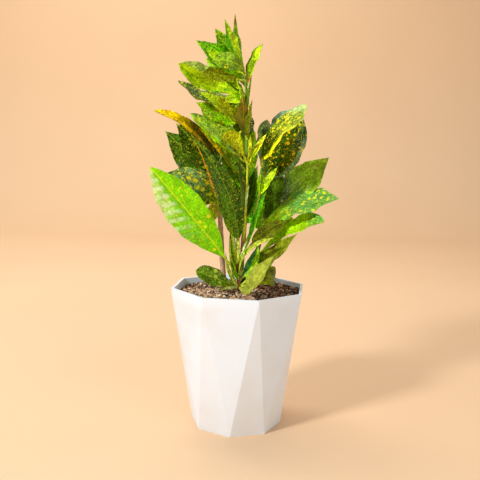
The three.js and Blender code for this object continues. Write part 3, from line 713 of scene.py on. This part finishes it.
def blade_half_width(row, u, reach, phase):
    """Half the leaf's width at the share u of its blade, with ripples, and its share of the full width."""
    power = BLADE_POWER * row["belly"]
    widest = row["belly"] ** power * (1 - row["belly"]) ** (BLADE_POWER - power)
    outline = u ** power * (1 - u) ** (BLADE_POWER - power) / widest
    stalk_half = reach * (1 - u)
    half = max(TIP_HALF_WIDTH, stalk_half + (row["width"] / 2 - stalk_half) * outline)
    ripple = RIPPLE_SHARE * np.sin(2 * np.pi * RIPPLES * u + phase)
    ripple += FINE_RIPPLE_SHARE * np.sin(2 * np.pi * FINE_RIPPLES * u)
    return half * (1 + ripple * min(1, RIPPLE_GROWTH * u)), outline


def blade_wave(u, t, width, outline, left_phase, right_phase):
    """How far waves and flutter lift the points t across a leaf."""
    phase = 2 * np.pi * WAVES * u + np.where(t > 0, WAVE_SHIFT, 0)
    wave = WAVE_SHARE * width * t * t * outline * np.sin(phase)
    flutter = np.sin(2 * np.pi * FLUTTERS * u + np.where(t > 0, left_phase, right_phase))
    return wave + FLUTTER_SHARE * width * np.abs(t) ** 3 * outline * flutter


def leaf_thickness(u, t, reach, round_share):
    """A round stalk that flattens to a blade, thickest at its midrib."""
    roundness = np.sqrt(1 - t * t)
    blade = EDGE_THICKNESS + MIDDLE_THICKNESS * roundness * (THIN_TIP + (1 - THIN_TIP) * (1 - u))
    stalk = 2 * reach * roundness + STALK_EDGE_THICKNESS
    return blade + (stalk - blade) * round_share


def leaf_tube(name, row, seed):
    """A leaf as a flat tube of rings: its points, colours and places, ring by ring."""
    base = stem_point(name, row["at"])
    chord = np.array(row["tip"], float) - base
    length = np.linalg.norm(chord)
    left = unit(np.array([-chord[1], chord[0], 0.0]))
    bow = unit(np.cross(chord, left)) * row["arch"] + left * row["sway"]
    width, stalk = row["width"], row["stalk"]
    reach = min(THICKEST_STALK, SLIMMEST_STALK + STALK_PER_WIDTH * width)
    rows = int(np.clip(length * (1 - stalk) / MESH_STEP, *BLADE_RINGS))
    sides = int(np.clip(width / MESH_STEP, *BLADE_POINTS)) // 2 * 2 + 1
    on_stalk = np.linspace(0, stalk, STALK_RINGS)[:-1]
    stations = np.concatenate([on_stalk, stalk + (1 - stalk) * np.linspace(0, 1, rows)])
    shares = np.clip((stations - stalk) / (1 - stalk), 0, 1)
    t = np.linspace(-1, 1, sides)
    t = np.sign(t) * np.abs(t) ** EDGE_CROWDING
    rng = np.random.default_rng(seed)
    edge_phase = rng.uniform(0, 2 * np.pi, 4)
    spacing = max(LEAST_VEIN_STEP, length / MOST_VEINS)
    points, places = [], []
    for s, u in zip(stations, shares):
        midrib = base + chord * s + bow * 4 * s * (1 - s)
        along = unit(chord + bow * (4 - 8 * s))
        level = unit(left - along * np.dot(left, along))
        side = turned(level, along, row["roll"])
        normal = np.cross(along, side)
        half, outline = blade_half_width(row, u, reach, edge_phase[0])
        round_share = max(0.0, 1 - u / STALK_FADE)
        fold = math.radians(row["fold"] * min(1, u / FOLD_START))
        across = half * t * (1 + row["skew"] * np.sign(t))
        vein_at = ((s - stalk) * length - VEIN_SLANT * np.abs(across)) / spacing
        quilt = QUILT * np.cos(2 * np.pi * vein_at) * (1 - t * t) * min(1, QUILT_GROWTH * u) * outline
        quilt *= min(1, width / QUILTED_WIDTH)
        wave = blade_wave(u, t, width, outline, edge_phase[1], edge_phase[2])
        lift = np.abs(across) * math.sin(fold) + wave - quilt
        thickness = leaf_thickness(u, t, reach, round_share)
        rib = np.exp(-(across / RIB_HALF_WIDTH) ** 2) * (1 - round_share) * (1 - u)
        line = midrib + side * (across * math.cos(fold))[:, None]
        top = line + normal * (lift + thickness / 2 - RIB_GROOVE * rib)[:, None]
        bottom = line + normal * (lift - thickness / 2 - RIB_RIDGE * rib)[:, None]
        points.append(np.concatenate([top, bottom[::-1]]))
        place = np.stack([np.full(sides, s * length + seed * PATTERN_STEP), across, vein_at], 1)
        places.append(np.concatenate([place, place[::-1]]))
    shape = (len(stations), 2 * sides)
    stalk_share = smooth(np.repeat(stations[:, None], 2 * sides, 1), stalk, stalk * STALK_COLOUR_FADE)
    colours = leaf_colours(
        {**USUAL_LOOK, **row},
        np.repeat(shares[:, None], 2 * sides, 1),
        np.broadcast_to(np.concatenate([t, t[::-1]]), shape),
        stalk_share,
    )
    under = np.broadcast_to(np.repeat([0.0, 1.0], sides), shape)
    size = (length, 2 * width)
    return dict(points=np.array(points), place=np.array(places), under=under, size=size, **colours)


def leaf_colours(row, u, t, stalk_share):
    """The colours and pattern strengths of a leaf at its points.

    A row can name other tints for its left or right half, foot, tip and rim, with where they start and
    end as shares of the blade, then the strength of its dots, blots, pale bands, veins and mottle.
    Split is how far off the midrib the left half starts, and plain leaves that half without a pattern.
    """
    tint = np.broadcast_to(COLOUR[row["tint"]], (*u.shape, 3)).copy()
    split = row["split"]
    if "left" in row:
        start, end = row["left_from"], row["left_to"]
        span = smooth(u, start - SOFT, start + SOFT) * smooth(u, end + SOFT, end - SOFT)
        tint = blend(tint, COLOUR[row["left"]], smooth(t, split - SOFT / 2, split + SOFT) * span)
    if "right" in row:
        tint = blend(tint, COLOUR[row["right"]], smooth(t, SOFT / 2, -SOFT))
    if "foot" in row:
        tint = blend(tint, COLOUR[row["foot"]], smooth(u, row["foot_to"], row["foot_from"]))
    if "tip_tint" in row:
        start = row["tip_from"]
        tint = blend(tint, COLOUR[row["tip_tint"]], smooth(u, start, start + TIP_BLEND))
    if "rim" in row:
        inner = 1 - row["rim_width"]
        start, end = row["rim_from"], row["rim_to"]
        shown = smooth(t * row["rim_side"], inner - RIM_FADE, inner + SOFT / 2)
        shown = shown * smooth(u, start - SOFT, start + SOFT) * smooth(u, end + SOFT, end - SOFT)
        tint = blend(tint, COLOUR[row["rim"]], shown)
    # The row's shade multiplies the tint: partly the leaf's own tone, partly painted light and shade
    tint = blend(tint * row["shade"], COLOUR["stalk"], stalk_share)
    bare = 1 - stalk_share
    # Pale bands, partly a painted sheen, show on the left half, away from the blade's foot
    bands = row["bands"] * smooth(t, 0.1, 0.4) * smooth(u, 0.3, 0.6)
    if "plain" in row:
        bare = bare * smooth(t, split + SOFT, split - SOFT)
    start = row["dots_from"]
    spotted = bare * (EARLY_DOTS + (1 - EARLY_DOTS) * smooth(u, start, start + DOTS_BLEND))
    look = np.stack([row["dots"] * spotted, row["blots"] * spotted, bands * bare], -1)
    vein = np.broadcast_to(COLOUR[row["vein"]], (*u.shape, 3))
    spot = np.broadcast_to(COLOUR[row["spot"]], (*u.shape, 3))
    mottle = np.full(u.shape, row["mottle"])
    return dict(tint=tint, mottle=mottle, vein=vein, veins=row["veins"] * bare, spot=spot, look=look)


def stem_tube(name, colour):
    """A stem as a round, slightly uneven tube. A cane also swells at each leaf scar."""
    points, radii = STEMS[name]
    foot, top = points[0][2], points[-1][2]
    count = max(FEWEST_STEM_RINGS, int((top - foot) / MESH_STEP))
    sides = CANE_SIDES if name in CANES else SHOOT_SIDES
    angles = np.linspace(0, 2 * np.pi, sides, endpoint=False)
    ring = np.stack([np.cos(angles), np.sin(angles), np.zeros(sides)], 1)
    rings, places = [], []
    for z in np.linspace(foot, top, count):
        centre = stem_point(name, z)
        scar = (z / SCAR_STEP) % 1
        swell = SCAR_SWELL * math.exp(-((scar - 0.5) / SCAR_SPREAD) ** 2) if name in CANES else 0.0
        rough = np.array(
            [noise.noise(Vector((math.cos(a), math.sin(a), z / ROUGHNESS_STEP))) for a in angles]
        )
        radius = stem_radius(name, z) * (STEM_SHARE + swell + STEM_ROUGHNESS * rough)
        rings.append(centre + ring * radius[:, None])
        places.append(np.stack([np.full(sides, z - foot), angles * radii[0], np.zeros(sides)], 1))
    shape = (count, sides)
    tint = np.broadcast_to(COLOUR[colour], (*shape, 3))
    return dict(points=np.array(rings), place=np.array(places), under=np.zeros(shape),
                size=(top - foot, 2 * np.pi * radii[0]), tint=tint, mottle=np.ones(shape), vein=tint,
                veins=np.zeros(shape), spot=tint, look=np.zeros((*shape, 3)))


def pack_islands(sizes, gap=0.003):
    """Lays rectangles out on shelves in the unit square: their corners and the scale that fits them."""
    order = sorted(range(len(sizes)), key=lambda k: -sizes[k][1])
    scale = 1 / math.sqrt(sum(a * b for a, b in sizes))
    while True:
        corners, x, y, shelf = {}, gap, gap, 0.0
        for k in order:
            wide, high = sizes[k][0] * scale, sizes[k][1] * scale
            if x + wide + gap > 1:
                x, y, shelf = gap, y + shelf + gap, 0.0
            corners[k] = (x, y)
            x, shelf = x + wide + gap, max(shelf, high)
            fits = x <= 1 and y + shelf + gap <= 1
            if not fits:
                break
        if fits:
            return corners, scale
        scale *= ISLAND_SHRINK


def tube_faces(tube, corner, scale, start):
    """A tube's faces, with both ends closed, and their corners' places in the UV map."""
    n, m = tube["points"].shape[:2]
    x, y = corner
    wide, high = tube["size"][0] * scale, tube["size"][1] * scale
    i, j = np.meshgrid(np.arange(n - 1), np.arange(m), indexing="ij")
    after = (j + 1) % m
    quads = np.stack([i * m + j, i * m + after, (i + 1) * m + after, (i + 1) * m + j], -1)
    faces = (quads.reshape(-1, 4) + start).tolist()
    steps = np.array([(0, 0), (0, 1), (1, 1), (1, 0)])
    u = x + wide * (i[..., None] + steps[:, 0]) / (n - 1)
    v = y + high * (j[..., None] + steps[:, 1]) / m
    uvs = [np.stack([u, v], -1).reshape(-1, 2)]
    ends = [list(range(m))[::-1], list(range((n - 1) * m, n * m))]
    for end, edge in zip(ends, (x, x + wide)):
        faces.append([start + e for e in end])
        uvs.append(np.stack([np.full(m, edge), y + high * (np.array(end) % m) / m], -1))
    return faces, uvs


def new_object(name, data):
    """A new object in the scene."""
    ob = bpy.data.objects.new(name, data)
    bpy.context.scene.collection.objects.link(ob)
    return ob


def store_colours(mesh, name, colours, last):
    """Stores a colour and a fourth value for each point of a mesh."""
    attribute = mesh.attributes.new(name, "FLOAT_COLOR", "POINT")
    attribute.data.foreach_set("color", np.concatenate([colours, last[:, None]], 1).ravel())


def tubes_object(name, tubes, materials, slots):
    """One object from several tubes, each unrolled to its own rectangle of the UV map."""
    corners, scale = pack_islands([tube["size"] for tube in tubes])
    faces, uvs, slot_of = [], [], []
    start = 0
    for k, tube in enumerate(tubes):
        new_faces, new_uvs = tube_faces(tube, corners[k], scale, start)
        faces.extend(new_faces)
        uvs.extend(new_uvs)
        slot_of.extend([slots[k]] * len(new_faces))
        start += tube["points"][..., 0].size

    def gather(key):
        """One value of all the tubes, point by point."""
        return np.concatenate([tube[key].reshape(-1, *tube[key].shape[2:]) for tube in tubes])

    mesh = bpy.data.meshes.new(name)
    mesh.from_pydata((gather("points") * MM).tolist(), [], faces)
    mesh.uv_layers.new(name="OFBake").data.foreach_set("uv", np.concatenate(uvs).ravel())
    for material in materials:
        mesh.materials.append(material)
    mesh.polygons.foreach_set("material_index", slot_of)
    mesh.polygons.foreach_set("use_smooth", [True] * len(faces))
    for key, last in (("tint", "mottle"), ("vein", "veins"), ("spot", "under")):
        store_colours(mesh, key, gather(key), gather(last))
    for key in ("place", "look"):
        mesh.attributes.new(key, "FLOAT_VECTOR", "POINT").data.foreach_set("vector", gather(key).ravel())
    mesh.validate()
    mesh.set_sharp_from_angle(angle=SMOOTH_ANGLE)
    return new_object(name, mesh)


def soft_pot(material):
    """The planter with softened edges."""
    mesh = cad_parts["pot"].data.copy()
    mesh.name = "pot_shell"
    bm = bmesh.new()
    bm.from_mesh(mesh)
    bmesh.ops.remove_doubles(bm, verts=bm.verts, dist=WELD_DISTANCE)
    bmesh.ops.dissolve_limit(bm, angle_limit=FLAT_ANGLE, verts=bm.verts, edges=bm.edges)
    bm.to_mesh(mesh)
    bm.free()
    mesh.materials.clear()
    mesh.materials.append(material)
    mesh.polygons.foreach_set("use_smooth", [True] * len(mesh.polygons))
    ob = new_object("pot_shell", mesh)
    bevel = ob.modifiers.new("bevel", "BEVEL")
    bevel.width = BEVEL_WIDTH
    bevel.segments = BEVEL_STEPS
    bevel.limit_method = "ANGLE"
    bevel.angle_limit = BEVEL_ANGLE
    bevel.harden_normals = True
    return ob


def soil_height(x, y):
    return SOIL_TOP + SOIL_MOUND * (1 - (x * x + y * y) / RIM_RADIUS ** 2) + SOIL_TILT * x


def inside_planter(x, y, margin):
    """Whether a point at the soil's level is inside the planter's eight walls."""
    turn = 360 / POT_SIDES
    reach = (SOIL_RADIUS - margin) * math.cos(math.pi / POT_SIDES)
    angle = math.degrees(math.atan2(y, x)) - RIM_TURN - turn / 2
    nearest = math.radians(angle - turn * round(angle / turn))
    return math.hypot(x, y) * math.cos(nearest) < reach


def chip_ball():
    """The points and faces of the ball that every chip is made from."""
    bm = bmesh.new()
    bmesh.ops.create_icosphere(bm, subdivisions=1, radius=1)
    points = np.array([v.co[:] for v in bm.verts])
    faces = np.array([[v.index for v in f.verts] for f in bm.faces])
    bm.free()
    return points, faces


def bark_chips(material):
    """Chips of bark and crumbs of potting mix, scattered in layers over the soil."""
    draw = random.Random(23)
    ball, ball_faces = chip_ball()
    blocky = np.sign(ball) * np.abs(ball) ** CHIP_BLOCKINESS
    chips, tints = [], []
    for step, smallest, largest, raise_by in CHIP_LAYERS:
        count = int(CHIP_FIELD / step)
        for i, j in itertools.product(range(-count, count + 1), repeat=2):
            x = (i + draw.uniform(-0.5, 0.5)) * step
            y = (j + draw.uniform(-0.5, 0.5)) * step
            size = draw.uniform(smallest, largest)
            # Paler chips at the front left paint the sunlight that falls there
            weights = LIT_CHIPS if x < LIT_RIGHT and y < LIT_BACK else OTHER_CHIPS
            colour = draw.choices(CHIP_COLOURS, weights)[0]
            spin = Matrix.Rotation(draw.uniform(0, 2 * math.pi), 3, "Z")
            tilt = Matrix.Rotation(draw.gauss(0, CHIP_TILT), 3, "X")
            lean = Matrix.Rotation(draw.gauss(0, CHIP_LEAN), 3, "Y")
            flat = draw.uniform(*CHIP_FLATNESS)
            slim = draw.uniform(*CHIP_SLIMNESS)
            key = Vector((draw.uniform(-DENT_FIELD, DENT_FIELD), draw.uniform(-DENT_FIELD, DENT_FIELD), 0))
            if not inside_planter(x, y, size * WALL_CLEARANCE):
                continue
            dents = np.array([1 + DENT_DEPTH * noise.noise(Vector(p) * DENT_SCALE + key) for p in ball])
            body = blocky * dents[:, None] * (size, size * slim, size * flat)
            centre = (x, y, soil_height(x, y) + raise_by * draw.uniform(*CHIP_RAISE))
            chips.append(body @ np.array(spin @ tilt @ lean).T + centre)
            tints.append(np.repeat([colour * draw.uniform(*CHIP_SHADE)], len(ball), 0))
    offsets = np.arange(len(chips)) * len(ball)
    faces = (ball_faces + offsets[:, None, None]).reshape(-1, 3)
    mesh = bpy.data.meshes.new("bark_chips")
    mesh.from_pydata((np.concatenate(chips) * MM).tolist(), [], faces.tolist())
    store_colours(mesh, "tint", np.concatenate(tints), np.ones(len(chips) * len(ball)))
    mesh.materials.append(material)
    return new_object("bark_chips", mesh)


def place_piece(ob, slot, *nodes):
    """Lets a piece ride on the root body, in place of the nodes named here. Its slot is not used."""
    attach(ob, "root")
    if nodes:
        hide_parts(*nodes)


def backdrop():
    """A pale floor that sweeps up behind the plant."""
    profile = [(FLOOR_FRONT, 0.0), (SWEEP_START, 0.0)]
    for a in np.linspace(*SWEEP_ANGLES, SWEEP_STEPS):
        height = SWEEP_RADIUS - SWEEP_RADIUS * math.cos(a)
        profile.append((SWEEP_START + SWEEP_RADIUS * math.sin(a), height))
    profile.append((SWEEP_START + SWEEP_RADIUS, BACKDROP_TOP))
    verts = [(x, y, z) for y, z in profile for x in (-BACKDROP_SIDE, BACKDROP_SIDE)]
    faces = [(2 * k, 2 * k + 1, 2 * k + 3, 2 * k + 2) for k in range(len(profile) - 1)]
    mesh = bpy.data.meshes.new("floor")
    mesh.from_pydata(verts, [], faces)
    mesh.polygons.foreach_set("use_smooth", [True] * len(faces))
    mesh.materials.append(backdrop_material())
    ob = new_object("floor", mesh)


def area_light(name, place, target, size, power, colour):
    """A round light that points at its target."""
    data = bpy.data.lights.new(name, "AREA")
    data.shape = "DISK"
    data.size = size
    data.energy = power
    data.color = colour
    ob = new_object(name, data)
    ob.location = place
    ob.rotation_euler = (Vector(target) - Vector(place)).to_track_quat("-Z", "Y").to_euler()


def sky():
    """An even, slightly blue light from all around."""
    world = bpy.data.worlds.new("studio")
    world.use_nodes = True
    background = world.node_tree.nodes["Background"]
    background.inputs["Color"].default_value = SKY_COLOUR
    background.inputs["Strength"].default_value = SKY_STRENGTH
    bpy.context.scene.world = world


def front_camera():
    """The camera in front of the plant, a little above its middle and looking down."""
    data = bpy.data.cameras.new("camera")
    data.lens = LENS
    data.sensor_width = SENSOR
    camera = new_object("camera", data)
    camera.matrix_world = (
        Matrix.Translation(CAMERA_PLACE)
        @ Matrix.Rotation(math.radians(90 - CAMERA_TILT), 4, "X")
        @ Matrix.Rotation(math.radians(CAMERA_ROLL), 4, "Z")
    )
    bpy.context.scene.camera = camera


# The planter and its soil
place_piece(soft_pot(pot_material()), "pot", "pot")
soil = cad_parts["soil"]
soil.data.materials[0] = soil_material("potting_mix", chips=False)
place_piece(bark_chips(soil_material("bark_chip", chips=True)), "soil")

# The brown canes
for name in CANES:
    material = bark_material(f"bark_{name.split('_')[0]}", *BARKS[name])
    cane = tubes_object(f"{name}_bark", [stem_tube(name, "brown")], [material], [0])
    place_piece(cane, "bark", name)

# The green shoots with their leaves
leaf_look, stem_look = leaf_material(), stem_material()
for number, name in enumerate(LEAVES):
    rows = LEAVES[name] + back_leaves(name)
    tubes = [stem_tube(name, STEM_COLOURS[name])]
    tubes += [leaf_tube(name, row, 100 * number + k + 1) for k, row in enumerate(rows)]
    foliage = tubes_object(f"{name}_leaves", tubes, [stem_look, leaf_look], [0] + [1] * len(rows))
    place_piece(foliage, "lime" if name.startswith("young") else "leaf", name)

# The floor, the lights and the camera
backdrop()
area_light("key", (-1.2, -1.1, 1.1), MIDDLE, size=0.3, power=28, colour=(0.91, 0.96, 1.0))
area_light("fill", (1.4, -1.2, 0.6), MIDDLE, size=1.4, power=10, colour=(0.9, 0.96, 1.0))
area_light("top", (0.1, 0.5, 1.9), MIDDLE, size=1.2, power=9, colour=(1.0, 1.0, 1.0))
area_light("wall", (-0.6, 0.6, 2.0), (-0.5, 2.4, 0.6), size=1.0, power=27, colour=(1.0, 0.99, 0.96))
sky()
front_camera()
bpy.context.scene.view_settings.view_transform = "Standard"
